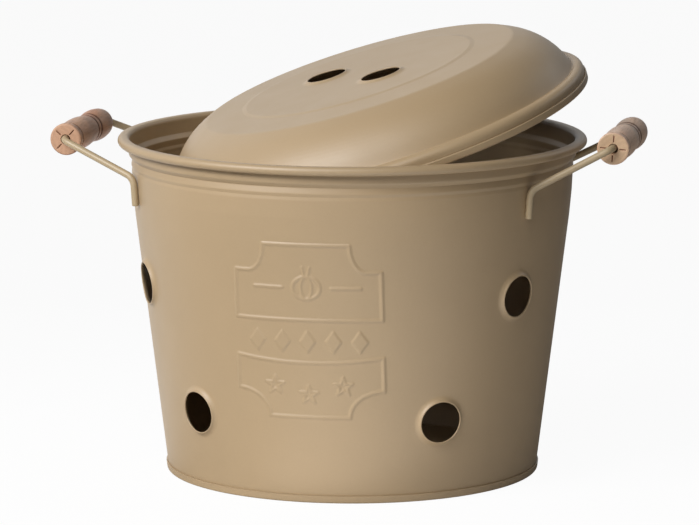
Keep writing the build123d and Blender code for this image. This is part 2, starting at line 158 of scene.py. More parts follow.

# Floor: its tone near the object, and far from it a darker tone that is painted shade for a floor lit only
# near the object, and where the one fades into the other
floor_half = 12.0
floor_near_tone = (0.9, 0.9, 0.9)
floor_far_painted_shade = (0.3, 0.3, 0.3)
floor_fade = (0.25, 0.6)
floor_roughness = 0.9
floor_specular = 0.1
floor_white_share = 0.95  # of plain white in what the camera sees of it, and the rest is shaded
floor_gloss_share = 0.90

# Lamps: softboxes by name, azimuth from the front, elevation and power, and a card on the floor
softbox_distance = 2.2
softbox_size = (1.2, 0.6)
softbox_aim_height = 0.12
softboxes = [
    ("key_left", -40, 30, 36.0),
    ("key_front", -10, 30, 9.0),
    ("key_high", -10, 50, 11.0),
    ("back_left", -140, 30, 1.1),
    ("back", 180, 35, 0.9),
    ("back_right", 140, 30, 4.2),
]
card_place = (0.16, -0.33)
card_height = 0.001
card_size = (0.42, 0.42)
card_power = 0.34

# Pressed steel sheet, and the middle line of the wall from its foot to the end of the curl,
# as points (radius, height)
sheet = 0.8
half_sheet = sheet / 2
wall_flare = 0.1234  # radius gained for each millimetre of height
wall_slope = sqrt(1 + wall_flare**2)
foot_radius = 106.2  # of the wall's middle line at the floor
foot_z = 1.25
cone_top_z = 150.0
shoulder = (126.01, 164.0)
shoulder_bend = 12.0
neck_foot = (126.50, 174.3)
crease = (126.20, 176.1)
bead = (126.80, 177.8)
groove = (126.05, 181.4)
neck = (128.30, 183.8)
rim_inner_radius = 128.0
rim_outer_radius = 134.58
rim_top_z = 193.6
rim_under_z = 189.3
curl_end_radius = 129.3
neck_bend = 1.2
groove_bend = 0.6
curl_bend = 2.13
turn_step = radians(15)  # most that a bend turns from one point to the next
arc_step = 2.5  # and its longest step
support_gap = 0.7  # from a bend to the row that holds the flat stretch beside it flat

# Rows and columns of the wall's mesh
column_step = 2.0  # degrees
fine_share = 7  # fine cells along a coarse one in the plaque
inner_share = 3  # the same on the inside of the wall
plaque_columns = 12  # coarse columns of the fine patch, each side of the front
plaque_margin = 4.0  # round the plaque
vent_block = 6  # coarse cells from the middle of a vent to the side of its patch
vent_row_step = 4.0
rows_under_vents = 5
rows_between_vents = 5
rows_over_vents = 3

# Vents: azimuth from the front and height, and the flare of their collars
vent_spots = [(38, 45.8), (62, 113.2)]
flare_foot_radius = 15.7
flare_lip_radius = 12.1
flare_height = 2.1
square_rings = 4  # from the square border of a vent's patch in to the round foot of its collar
flare_steps = 6
lip_steps = 4

# Plaque, pressed out of the wall as soft ridges
relief = 0.55
line_half = 0.85  # half width
thin_line_half = 0.55
relief_soft = 0.62  # half width of the rounded flank of a ridge
far_outside = -9.0  # depth inside a line, of points far from them all
arc_points = 24
oval_points = 40
plaque_half_width = 41.3
plaque_top_z = 149.0
plaque_top_half = 24.6
plaque_shoulder = 7.7
top_corner_z = 133.4
band_top_z = 106.0
band_bottom_z = 84.2
band_sag = 2.8
bottom_corner_z = 65.0
plaque_bottom_z = 50.0
plaque_bottom_half = 22.6
star_tips = 5
star_radius = 6.6
star_pitch = 19.3
star_z = 68.0
middle_star_drop = 5.0
lozenge_count = 5
lozenge_pitch = 14.5
lozenge_half_width = 4.6
lozenge_half_height = 6.6
bulb_z = 124.5
bulb_half_width = 8.6
bulb_half_height = 7.2
bulb_core_half_width = 3.6
bulb_neck_height = 4.6
bulb_neck_lean = 2.2
rule_start = 14.0
rule_length = 16.0

# Side seam at the back
lap_width = 9.0
lap_relief = 0.5
lap_soft = 0.55  # half width of its rounded flank
lap_bottom_z = 5.1
lap_bottom_soft = 0.5
lap_top_z = neck_foot[1] - 1.0
lap_top_soft = 1.5
lap_middle_offset = 1.0  # degrees from the back to the columns inside the seam
lap_flank_offsets = (-0.45, -0.22, 0, 0.22, 0.45)  # degrees from its flank to the columns there
lap_clear = 0.5  # degrees from those columns to the next

# Lid, about its own axis: its middle line from the end of the hem in to the flat panel
lid_origin = (13.34, 6.53, 191.0)
lid_lean = 17.3
lid_lean_azimuth = 26.1
lid_hem_line = 126.0
lid_hem_height = 4.2
lid_wall = 125.08
lid_bead_z = 10.05
lid_crest = 121.28
lid_valley = (119.48, 9.3)
lid_skirt_corner = (110.58, 28.2)
lid_crown_edge = (91.9, 36.84)
lid_ring = (69.6, 38.02)
lid_panel_radius = 67.0
lid_panel_z = 38.6
lid_panel_border = 3.0
lid_bends = [0.45, 0.45, 3.4, 0.8, 1.2, 42.0, 5.5, 1.6, 1.6]
lid_columns = 180
finger_turn = -66.5
finger_pitch = 52.4
finger_shift = -2.5
finger_foot_radius = 15.4
finger_lip_radius = 11.75
finger_lip_height = 1.25
finger_border = 1.0  # of the panel round the foot of a collar
collar_columns = 48

weld_share = 0.55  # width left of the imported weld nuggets

# Turned grips: (radius, distance from the front end, bend) at each corner of the outline
grip_columns = 192
grip_length = 80.0
bore_radius = 2.8
bore_bend = 0.3
face_border = 1.0  # of the front face round the bore
face_row_step = 0.35
face_flat = 0.01  # points nearer to the front end than this are on the front face
grip_turns = [
    (9.19, 0.0, 1.1),
    (9.19, 4.6, 5.0),
    (8.5, 7.0, 1.0),
    (7.65, 8.2, 0.6),
    (8.5, 9.6, 1.0),
    (9.19, 22.0, 40.0),
    (9.19, 30.0, 40.0),
    (8.4, 42.3, 0.5),
    (7.3, 43.5, 0.45),
    (8.3, 44.8, 0.5),
    (8.3, 48.8, 0.5),
    (7.3, 50.1, 0.45),
    (8.4, 51.5, 1.5),
    (9.19, 59.5, 30.0),
    (9.19, 66.0, 30.0),
    (8.5, 74.0, 12.0),
    (6.0, grip_length, 1.6),
    (bore_radius, grip_length, bore_bend),
]
spur_count = 4
spur_start = 3.6  # radii
spur_end = 7.3
spur_half_width = 0.28
spur_soft = 0.14
spur_depth = 0.6


def new_material(name):
    """Material with its tree and shader."""
    material = bpy.data.materials.new(name)
    material.use_nodes = True
    tree = material.node_tree
    return material, tree, tree.nodes["Principled BSDF"]


def add_node(tree, kind, settings=None, **inputs):
    """Shader node of a kind, with its settings, and its inputs given values or links.

    An input is named as Blender does, or i0, i1, i2 and so on by its place.
    """
    node = tree.nodes.new(kind)
    for name, value in (settings or {}).items():
        setattr(node, name, value)
    for name, value in inputs.items():
        is_place = name[0] == "i" and name[1:].isdigit()
        socket = node.inputs[int(name[1:]) if is_place else name]
        if isinstance(value, bpy.types.NodeSocket):
            tree.links.new(value, socket)
        else:
            socket.default_value = value
    return node


def calc(tree, operation, a, b=0.0):
    """Result of one Math node."""
    return add_node(tree, "ShaderNodeMath", {"operation": operation}, i0=a, i1=b).outputs[0]


def noise(tree, vector, scale, detail=3.0, roughness=0.5):
    """Noise with about one feature in each 1/scale metres."""
    settings = {"Vector": vector, "Scale": scale, "Detail": detail, "Roughness": roughness}
    return add_node(tree, "ShaderNodeTexNoise", None, **settings).outputs["Fac"]


def spread(tree, value, low, high, to_low, to_high):
    """Value mapped from one range to another and held at its ends."""
    node = add_node(tree, "ShaderNodeMapRange", None, i0=value, i1=low, i2=high, i3=to_low, i4=to_high)
    return node.outputs[0]


def shown(tree, value, begin, most, strength):
    """How strongly a texture shows: not at all up to one value of its noise, most from another on."""
    return spread(tree, value, begin, most, 0.0, strength)


def blend_colours(tree, share, first, second):
    """Colour between two, by a share."""
    node = tree.nodes.new("ShaderNodeMix")
    node.data_type = "RGBA"
    for socket, value in ((node.inputs[0], share), (node.inputs[6], first), (node.inputs[7], second)):
        if isinstance(value, bpy.types.NodeSocket):
            tree.links.new(value, socket)
        else:
            socket.default_value = value if isinstance(value, float) else (*value[:3], 1.0)
    return node.outputs[2]


def blend_values(tree, share, first, second):
    """Value between two, by a share."""
    return add_node(tree, "ShaderNodeMix", None, i0=share, i2=first, i3=second).outputs[0]


def shaded(colour, factor):
    """Colour made lighter or darker."""
    return tuple(channel * factor for channel in colour)


def powder_coat(name, colour, roughness):
    """Matte baked powder coat: fine orange peel, faint clouding and satin variation."""
    material, tree, shader = new_material(name)
    place = add_node(tree, "ShaderNodeTexCoord").outputs["Object"]
    cloud_share = spread(tree, noise(tree, place, cloud_scale, 4.0, 0.6), *noise_range, 0.0, 1.0)
    dark, pale = shaded(colour, 1 - cloud_swing), shaded(colour, 1 + cloud_swing)
    tone = blend_colours(tree, cloud_share, dark, pale)
    dust = shown(tree, noise(tree, place, dust_scale, 2.0, 0.7), *dust_show)
    final = blend_colours(tree, dust, tone, shaded(colour, dust_shade))
    tree.links.new(final, shader.inputs["Base Color"])
    patches = noise(tree, place, satin_scale, 3.0)
    swing = (roughness - roughness_swing, roughness + roughness_swing)
    satin = spread(tree, patches, *noise_range, *swing)
    tree.links.new(satin, shader.inputs["Roughness"])
    peel = noise(tree, place, peel_scale, 2.0)
    grit = noise(tree, place, grit_scale, 1.0)
    height = calc(tree, "ADD", peel, calc(tree, "MULTIPLY", grit, grit_height))
    bump = add_node(tree, "ShaderNodeBump", None, Height=height, **coat_bump)
    tree.links.new(bump.outputs[0], shader.inputs["Normal"])
    shader.inputs["Specular IOR Level"].default_value = coat_specular
    return material


def band(tree, value, middle, half_width):
    """1 in the middle of a band of values, falling to 0 at its sides."""
    off = calc(tree, "ABSOLUTE", calc(tree, "SUBTRACT", value, middle))
    return spread(tree, off, half_width * groove_core, half_width, 1.0, 0.0)


def reach_of(tree, x, z):
    """Distance from an axis, by two offsets from it."""
    square = calc(tree, "ADD", calc(tree, "MULTIPLY", x, x), calc(tree, "MULTIPLY", z, z))
    return calc(tree, "SQRT", square)


def drawn(tree, place, share):
    """Place whose textures are drawn out along the grip: they keep a share of their scale there."""
    settings = {"Vector": place, "Scale": (1.0, share, 1.0)}
    return add_node(tree, "ShaderNodeMapping", None, **settings).outputs[0]


def side_grain(tree, place, fibres, streaks, colours):
    """Colour of the turned sides: a grey mottle, a red blush, streaks and dark fibres, on tones lifted by
    painted light.
    """
    light, grey, red = colours
    short = drawn(tree, place, mottle_drawn_out)
    mottle = noise(tree, short, mottle_scale, 3.0, 0.6)
    blush = noise(tree, short, blush_scale, 2.0, 0.5)
    tone = blend_colours(tree, shown(tree, mottle, *mottle_show), light, grey)
    tone = blend_colours(tree, shown(tree, blush, *blush_show), tone, red)
    tone = blend_colours(tree, shown(tree, streaks, *streak_show), tone, shaded(red, streak_shade))
    return blend_colours(tree, shown(tree, fibres, *fibre_show), tone, wood_dark_colour)


def end_grain(tree, place, long_place, sides, heart_turn, colour):
    """Colour of the ends: growth rings about a heart beside the grip, and fine pores."""
    side_x, side_z = sides
    heart_x = calc(tree, "ADD", side_x, heart_offset * cos(heart_turn))
    heart_z = calc(tree, "ADD", side_z, heart_offset * sin(heart_turn))
    wander = calc(tree, "MULTIPLY", noise(tree, long_place, wander_scale, 2.0), ring_wander)
    ring_depth = calc(tree, "ADD", reach_of(tree, heart_x, heart_z), wander)
    rings = calc(tree, "SINE", calc(tree, "MULTIPLY", ring_depth, 2 * pi / ring_spacing))
    ring_share = spread(tree, rings, -1.0, 1.0, 0.0, ring_strength)
    tone = blend_colours(tree, ring_share, colour, shaded(colour, ring_shade))
    pores = shown(tree, noise(tree, place, pore_scale, 2.0, 0.6), *pore_show)
    return blend_colours(tree, pores, tone, wood_speck_colour)


def groove_shade(tree, along, radius):
    """How dark the grooves are, by the distance from the front end and the radius."""
    shade = 0.0
    for middle, half_width in groove_shades:
        shade = calc(tree, "ADD", shade, band(tree, along, middle * mm, half_width * mm))
    reach = (groove_dark_radius * mm, groove_pale_radius * mm)
    depth = spread(tree, radius, *reach, groove_dark_share, groove_pale_share)
    return calc(tree, "MULTIPLY", shade, depth)


def spur_shade(tree, along, radius):
    """1 in the spur marks of the front face, and 0 elsewhere."""
    near = spread(tree, along, *(depth * mm for depth in spur_shade_near), 0.0, 1.0)
    far = spread(tree, along, *(depth * mm for depth in spur_shade_far), 1.0, 0.0)
    inside = spread(tree, radius, *(reach * mm for reach in spur_shade_radius), 1.0, 0.0)
    return calc(tree, "MULTIPLY", calc(tree, "MULTIPLY", near, far), inside)


def turned_wood(name, box, heart_turn, side_colours_with_painted_light, end_colour):
    """Wood turned along Y: mottled sides with fine streaks on tones lifted by painted light, dark grooves
    and pale end grain.
    """
    material, tree, shader = new_material(name)
    low, high = box
    coordinates = add_node(tree, "ShaderNodeTexCoord").outputs
    place = coordinates["Object"]
    apart = add_node(tree, "ShaderNodeSeparateXYZ", None, i0=place).outputs
    sides = [calc(tree, "SUBTRACT", apart[k], (low[k] + high[k]) / 2) for k in (0, 2)]
    radius = reach_of(tree, *sides)
    along = calc(tree, "SUBTRACT", apart[1], low[1])
    long_place = drawn(tree, place, drawn_out)
    fibres = noise(tree, long_place, fibre_scale, 4.0, 0.65)
    streaks = noise(tree, long_place, streak_scale, 3.0, 0.6)
    side_tone = side_grain(tree, place, fibres, streaks, side_colours_with_painted_light)
    side_tone = blend_colours(tree, groove_shade(tree, along, radius), side_tone, wood_groove_colour)
    end_tone = end_grain(tree, place, long_place, sides, heart_turn, end_colour)
    normal = add_node(tree, "ShaderNodeSeparateXYZ", None, i0=coordinates["Normal"]).outputs
    end = spread(tree, calc(tree, "ABSOLUTE", normal[1]), *end_facing, 0.0, 1.0)
    tone = blend_colours(tree, end, side_tone, end_tone)
    tone = blend_colours(tree, spur_shade(tree, along, radius), tone, wood_spur_colour)
    tree.links.new(tone, shader.inputs["Base Color"])
    tree.links.new(spread(tree, fibres, *noise_range, *wood_roughness), shader.inputs["Roughness"])
    height = calc(tree, "ADD", fibres, calc(tree, "MULTIPLY", streaks, streak_height))
    bump = add_node(tree, "ShaderNodeBump", None, Height=height, **wood_bump)
    tree.links.new(bump.outputs[0], shader.inputs["Normal"])
    shader.inputs["Specular IOR Level"].default_value = wood_specular
    return material


def dress(node_name, material):
    """Gives a node of the frame one material."""
    mesh = nodes[node_name].data
    mesh.materials.clear()
    mesh.materials.append(material)


def rounded(points, bends):
    """Points of a line whose inner corners are rounded, each with its radius."""
    line = [Vector(points[0])]
    for before, corner, after, bend in zip(points, points[1:], points[2:], bends):
        corner = Vector(corner)
        back = (Vector(before) - corner).normalized()
        ahead = (Vector(after) - corner).normalized()
        half_angle = back.angle(ahead) / 2
        middle = corner + (back + ahead).normalized() * bend / sin(half_angle)
        spoke = corner + back * bend / tan(half_angle) - middle
        turn = pi - 2 * half_angle
        steps = max(1, ceil(turn / turn_step), ceil(turn * bend / arc_step))
        side = 1 if back.cross(ahead) < 0 else -1
        for k in range(steps + 1):
            line.append(middle + Matrix.Rotation(side * turn * k / steps, 2) @ spoke)
    line.append(Vector(points[-1]))
    return line


def supported(line):
    """Line with a point added near both ends of each long stretch."""
    result = [line[0]]
    for start, end in zip(line, line[1:]):
        length = (end - start).length
        if length > 3 * support_gap:
            share = support_gap / length
            result += [start.lerp(end, share), start.lerp(end, 1 - share)]
        result.append(end)
    return result


def row_heights():
    """Heights of the rows in the cone, which meet the sides of the vents' patches."""
    half_patch = vent_block * vent_row_step
    (_, lower_z), (_, upper_z) = vent_spots
    marks = [
        (foot_z, rows_under_vents),
        (lower_z - half_patch, 2 * vent_block),
        (lower_z + half_patch, rows_between_vents),
        (upper_z - half_patch, 2 * vent_block),
        (upper_z + half_patch, rows_over_vents),
        (cone_top_z, 0),
    ]
    heights = []
    for (start, count), (end, _) in zip(marks, marks[1:]):
        heights += [start + (end - start) * k / count for k in range(count)]
    return heights + [cone_top_z]


def cone_radius(z):
    """Radius of the wall's middle line in the cone."""
    return foot_radius + wall_flare * z


def segment_distance(x, z, start, end):
    """Distances of points from one straight stretch."""
    run_x, run_z = end[0] - start[0], end[1] - start[1]
    share = ((x - start[0]) * run_x + (z - start[1]) * run_z) / (run_x**2 + run_z**2)
    share = np.clip(share, 0, 1)
    return np.hypot(x - start[0] - share * run_x, z - start[1] - share * run_z)


def line_distance(x, z, points):
    """Distances of points from a line of straight stretches."""
    stretches = zip(points, points[1:])
    return np.min([segment_distance(x, z, start, end) for start, end in stretches], axis=0)


def inside_polygon(x, z, corners):
    """Whether points lie inside a closed outline."""
    inside = np.zeros(x.shape, bool)
    for (x1, z1), (x2, z2) in zip(corners, corners[1:] + corners[:1]):
        crosses = (z1 > z) != (z2 > z)
        if z1 != z2:
            inside ^= crosses & (x < x1 + (z - z1) * (x2 - x1) / (z2 - z1))
    return inside


def ellipse_points(middle, half_width, half_height, start, end, count=arc_points):
    """Points of a piece of an ellipse between two angles in degrees."""
    angles = [radians(start + (end - start) * k / count) for k in range(count + 1)]
    return [(middle[0] + half_width * cos(a), middle[1] + half_height * sin(a)) for a in angles]


def star_outline(x, z):
    """Closed outline of an upright five-pointed star, drawn in the middle of its line."""
    reach = star_radius - 2 * thin_line_half
    dent = reach * cos(2 * pi / star_tips) / cos(pi / star_tips)
    corners = []
    for i in range(2 * star_tips + 1):
        a = pi / 2 + i * pi / star_tips
        r = reach if i % 2 == 0 else dent
        corners.append((x + r * cos(a), z + r * sin(a)))
    return corners


def level_line(half_width, z):
    """Level line across the middle of the plaque."""
    return [(-half_width, z), (half_width, z)]


def sagging_line():
    """Lower line of the middle band, an arc between the sides of the plaque."""
    radius = (plaque_half_width**2 + band_sag**2) / (2 * band_sag)
    half_turn = atan2(plaque_half_width, radius - band_sag)
    points = []
    for k in range(arc_points + 1):
        a = half_turn * (2 * k / arc_points - 1)
        points.append((radius * sin(a), band_bottom_z - band_sag + radius * (1 - cos(a))))
    return points


def plaque_strokes():
    """Lines of the plaque, each with half its width."""
    wide = [
        level_line(plaque_half_width, band_top_z),
        level_line(plaque_top_half, plaque_top_z),
        level_line(plaque_bottom_half, plaque_bottom_z),
        sagging_line(),
    ]
    thin = []
    shoulder_x = plaque_half_width - plaque_shoulder
    bulb_top = bulb_z + bulb_half_height
    for side in (-1, 1):
        edge = side * plaque_half_width
        top_width, top_height = shoulder_x - plaque_top_half, plaque_top_z - top_corner_z
        corner = ellipse_points((side * shoulder_x, plaque_top_z), -side * top_width, -top_height, 0, 90)
        wide.append(corner + [(edge, top_corner_z), (edge, band_top_z)])
        low_width = plaque_half_width - plaque_bottom_half
        low_height = bottom_corner_z - plaque_bottom_z
        corner = ellipse_points((edge, plaque_bottom_z), -side * low_width, low_height, 0, 90)
        wide.append(corner + [(edge, band_bottom_z)])
        wide.append([(side * rule_start, bulb_z), (side * (rule_start + rule_length), bulb_z)])
        neck_tip = (side * bulb_neck_lean, bulb_top + bulb_neck_height)
        thin.append([(side * line_half, bulb_top - line_half), neck_tip])
    for k in (-1, 0, 1):
        thin.append(star_outline(k * star_pitch, star_z - middle_star_drop * (k == 0)))
    half_height = bulb_half_height - line_half
    half_width = bulb_half_width - line_half
    wide.append(ellipse_points((0, bulb_z), half_width, half_height, 0, 360, oval_points))
    half_width = bulb_core_half_width - thin_line_half
    thin.append(ellipse_points((0, bulb_z), half_width, half_height, 0, 360, oval_points))
    return [(line, line_half) for line in wide] + [(line, thin_line_half) for line in thin]


def lozenges():
    """Corners of the lozenges in the middle band."""
    z = (band_top_z + band_bottom_z - band_sag) / 2
    result = []
    for i in range(lozenge_count):
        x = (i - (lozenge_count - 1) / 2) * lozenge_pitch
        result.append([
            (x + lozenge_half_width, z), (x, z + lozenge_half_height),
            (x - lozenge_half_width, z), (x, z - lozenge_half_height),
        ])
    return result


def soft_step(value):
    """0 below -1, 1 above 1, and a smooth rise between."""
    share = np.clip((value + 1) / 2, 0, 1)
    return share * share * (3 - 2 * share)


def plaque_relief(x, z):
    """Heights of the plaque's ridges over points of the wall, seen from the front."""
    depth = np.full(x.shape, far_outside)
    for points, half in plaque_strokes():
        depth = np.maximum(depth, half - line_distance(x, z, points))
    for corners in lozenges():
        off = line_distance(x, z, corners + corners[:1])
        depth = np.maximum(depth, np.where(inside_polygon(x, z, corners), off, -off))
    return relief * soft_step(depth / relief_soft)


class Shell:
    """Mesh of a pressed sheet, gathered as cylindrical points (azimuth, radius, height)."""

    def __init__(self):
        self.points = []
        self.faces = []
        self.places = {}

    def add(self, azimuth, radius, z):
        self.points.append((azimuth, radius, z))
        return len(self.points) - 1

    def bridge(self, first, second):
        """Faces between two rings of points, the second further along their outside."""
        count = len(first)
        for k in range(count):
            after = (k + 1) % count
            self.faces.append((first[k], first[after], second[after], second[k]))


def wall_columns():
    """Azimuths of the columns in degrees, with close ones beside the seam at the back."""
    half_count = round(180 / column_step)
    azimuths = [k * column_step for k in range(1 - half_count, half_count)]
    lap_angle = np.degrees(lap_width / 2 / cone_radius(cone_top_z / 2))
    offsets = [0, lap_middle_offset] + [lap_angle + offset for offset in lap_flank_offsets]
    back = [180 - o for o in reversed(offsets)] + [o - 180 for o in offsets[1:]]
    kept = [a for a in azimuths if abs(a) < 180 - offsets[-1] - lap_clear]
    return kept + [a for a in back if a > 0] + [a + 360 for a in back if a < 0]


def row_normals(rows):
    """Directions square to a line of points, to its right seen along it."""
    normals = []
    for before, after in zip([rows[0]] + rows[:-1], rows[1:] + [rows[-1]]):
        run = (after - before).normalized()
        normals.append(Vector((run.y, -run.x)))
    return normals


def wall_skins():
    """Mesh of the wall: two skins of the sheet with vents, plaque, seam and curl."""
    shell = Shell()
    columns = wall_columns()
    rows = [Vector((cone_radius(z), z)) for z in row_heights()]
    cone_rows = len(rows)
    upper_line = [
        tuple(rows[-1]), shoulder, neck_foot, crease, bead, groove, neck,
        (rim_inner_radius + half_sheet, rim_top_z), (rim_outer_radius, rim_top_z),
        (rim_outer_radius, rim_under_z), (curl_end_radius, rim_under_z),
    ]
    bends = [shoulder_bend] + [neck_bend] * 3 + [groove_bend, neck_bend] + [curl_bend] * 3
    rows += supported(rounded(upper_line, bends))[1:]
    normals = row_normals(rows)
    column_count, row_count = len(columns), len(rows)
    turned = columns + [columns[0] + 360]
    front = columns.index(0.0)
    plaque_sides = (front - plaque_columns, front + plaque_columns)
    plaque_foot = plaque_bottom_z - plaque_margin
    plaque_ends = (min(range(cone_rows), key=lambda j: abs(rows[j].y - plaque_foot)), cone_rows)
    blocks = []
    for azimuth, z in vent_spots:
        j = min(range(cone_rows), key=lambda k: abs(rows[k].y - z))
        for turn in (azimuth, -azimuth, 180 - azimuth, azimuth - 180):
            i = min(range(column_count), key=lambda k: abs((columns[k] - turn + 180) % 360 - 180))
            blocks.append((i, j, columns[i], z))

    def in_plaque(i, j):
        return plaque_sides[0] <= i < plaque_sides[1] and plaque_ends[0] <= j < plaque_ends[1]

    def in_vent(i, j):
        for middle_i, middle_j, _, _ in blocks:
            if -vent_block <= i - middle_i < vent_block and -vent_block <= j - middle_j < vent_block:
                return True
        return False

    def skin(side, share):
        """Points and faces of one skin: side 1 is the outside of the wall, -1 the inside."""

        def place(i, j, a=0, b=0):
            """Point at share a/share past column i and b/share past row j."""
            i, a = i + a // share, a % share
            j, b = j + b // share, b % share
            key = (side, i % column_count, a, j, b)
            if key not in shell.places:
                i %= column_count
                azimuth = turned[i] + (turned[i + 1] - turned[i]) * a / share
                spot = rows[j] + normals[j] * side * half_sheet
                if b:
                    spot = spot.lerp(rows[j + 1] + normals[j + 1] * side * half_sheet, b / share)
                shell.places[key] = shell.add(azimuth, spot.x, spot.y)
            return shell.places[key]

        def edge(i, j, step_i, step_j, beside):
            """Points along one side of a coarse cell, fine where the cell beside it is."""
            count = share if in_plaque(*beside) else 1
            spots = [(k * share // count) for k in range(count)]
            return [place(i, j, step_i * k, step_j * k) for k in spots]

        for i in range(column_count):
            for j in range(row_count - 1):
                if in_vent(i, j):
                    continue
                if in_plaque(i, j):
                    for a in range(share):
                        for b in range(share):
                            ring = [place(i, j, a, b), place(i, j, a + 1, b)]
                            ring += [place(i, j, a + 1, b + 1), place(i, j, a, b + 1)]
                            shell.faces.append(ring[::side])
                    continue
                ring = edge(i, j, 1, 0, (i, j - 1)) + edge(i + 1, j, 0, 1, (i + 1, j))
                ring += edge(i + 1, j + 1, -1, 0, (i, j + 1)) + edge(i, j + 1, 0, -1, (i - 1, j))
                shell.faces.append(ring[::side])
        return place

    outer = skin(1, fine_share)
    inner = skin(-1, inner_share)

    def border(place, i, j):
        """Ring of coarse points round a vent's block, turning left seen from outside."""
        n = vent_block
        ring = [place(i - n + k, j - n) for k in range(2 * n)]
        ring += [place(i + n, j - n + k) for k in range(2 * n)]
        ring += [place(i + n - k, j + n) for k in range(2 * n)]
        return ring + [place(i - n, j + n - k) for k in range(2 * n)]

    for i, j, azimuth, z in blocks:
        add_vent(shell, border(outer, i, j), border(inner, i, j), azimuth, z)
    foot = [[place(i, 0) for i in range(column_count)] for place in (inner, outer)]
    curl_end = [[place(i, row_count - 1) for i in range(column_count)] for place in (outer, inner)]
    shell.bridge(*foot)
    shell.bridge(*curl_end)
    return shell


def flare_rings(circle, foot_radius, lip_radius, height):
    """Rings of a flared collar: out of the face, over the rounded lip and back to the inner face.

    circle(radius, height) gives one ring around the collar's axis, from the sheet's middle.
    """
    rise = 2 * atan2(height, foot_radius - lip_radius)
    bend = (foot_radius - lip_radius) / sin(rise)
    rings = []
    for side in (1, -1):
        skin = []
        for k in range(flare_steps + 1):
            a = rise * k / flare_steps
            radius = foot_radius + (side * half_sheet - bend) * sin(a)
            skin.append(circle(radius, bend * (1 - cos(a)) + side * half_sheet * cos(a)))
        if side == 1:
            rings += skin
            for k in range(1, lip_steps):
                a = pi * k / lip_steps
                radius = lip_radius + half_sheet * (cos(a) * sin(rise) - sin(a) * cos(rise))
                over = half_sheet * (cos(a) * cos(rise) + sin(a) * sin(rise))
                rings.append(circle(radius, height + over))
        else:
            rings += skin[::-1]
    return rings


def add_vent(shell, outer_ring, inner_ring, azimuth, z):
    """Collar of one vent: the sheet flares outward from the wall to a rounded lip."""
    count = len(outer_ring)
    first_angle = -3 * pi / 4

    def on_wall(t, s, h):
        """Point of the wall by its distance to the side and up the slope, and its height over it."""
        height = z + (s - h * wall_flare) / wall_slope
        radius = cone_radius(z) + (s * wall_flare + h) / wall_slope
        flat_radius = cone_radius(z + s / wall_slope)
        return shell.add(azimuth + np.degrees(t / flat_radius), radius, height)

    def angle(k):
        return first_angle + 2 * pi * k / count

    def circle(radius, h):
        return [on_wall(radius * cos(angle(k)), radius * sin(angle(k)), h) for k in range(count)]

    def blended(ring, share, h):
        """Ring between the patch's square border and the foot of the flare."""
        result = []
        for k, index in enumerate(ring):
            spot_azimuth, _, spot_z = shell.points[index]
            off = (spot_azimuth - azimuth + 180) % 360 - 180
            spot_z += h * wall_flare / wall_slope
            t = radians(off) * cone_radius(spot_z)
            s = (spot_z - z) * wall_slope
            end_t, end_s = flare_foot_radius * cos(angle(k)), flare_foot_radius * sin(angle(k))
            result.append(on_wall(t + (end_t - t) * share, s + (end_s - s) * share, h))
        return result

    rings = [outer_ring]
    rings += [blended(outer_ring, k / square_rings, half_sheet) for k in range(1, square_rings)]
    rings += flare_rings(circle, flare_foot_radius, flare_lip_radius, flare_height)
    rings += [blended(inner_ring, k / square_rings, -half_sheet) for k in range(square_rings - 1, 0, -1)]
    rings.append(inner_ring)
    for first, second in zip(rings, rings[1:]):
        shell.bridge(first, second)


def finished_points(shell):
    """Positions in metres, with the plaque and the seam pressed into the wall."""
    azimuth, radius, z = np.array(shell.points).T
    angle = np.radians(azimuth)
    x = radius * np.sin(angle)
    front = (np.cos(angle) > 0) & (np.abs(x) < plaque_half_width + plaque_margin)
    front &= (z > plaque_bottom_z - plaque_margin) & (z < cone_top_z + plaque_margin)
    radius[front] += plaque_relief(x[front], z[front])
    lap = soft_step((lap_width / 2 - np.abs(x)) / lap_soft) * (np.cos(angle) < 0)
    lap *= soft_step((z - lap_bottom_z) / lap_bottom_soft) * soft_step((lap_top_z - z) / lap_top_soft)
    radius = radius + lap_relief * lap
    return np.stack([radius * np.sin(angle), -radius * np.cos(angle), z], axis=1) * mm


def add_piece(name, points, faces, material, replaced, body):
    """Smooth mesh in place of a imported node, on the same body."""
    mesh = bpy.data.meshes.new(name)
    mesh.from_pydata(points, [], faces)
    mesh.validate()
    mesh.shade_smooth()
    mesh.materials.append(material)
    piece = bpy.data.objects.new(name, mesh)
    bpy.context.scene.collection.objects.link(piece)
    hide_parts(replaced)
    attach(piece, body)


def make_body():
    """The pressed wall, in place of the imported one."""
    shell = wall_skins()
    points = finished_points(shell).tolist()
    add_piece("pressed_body", points, shell.faces, sheet_coat, "body_shell", "pail")


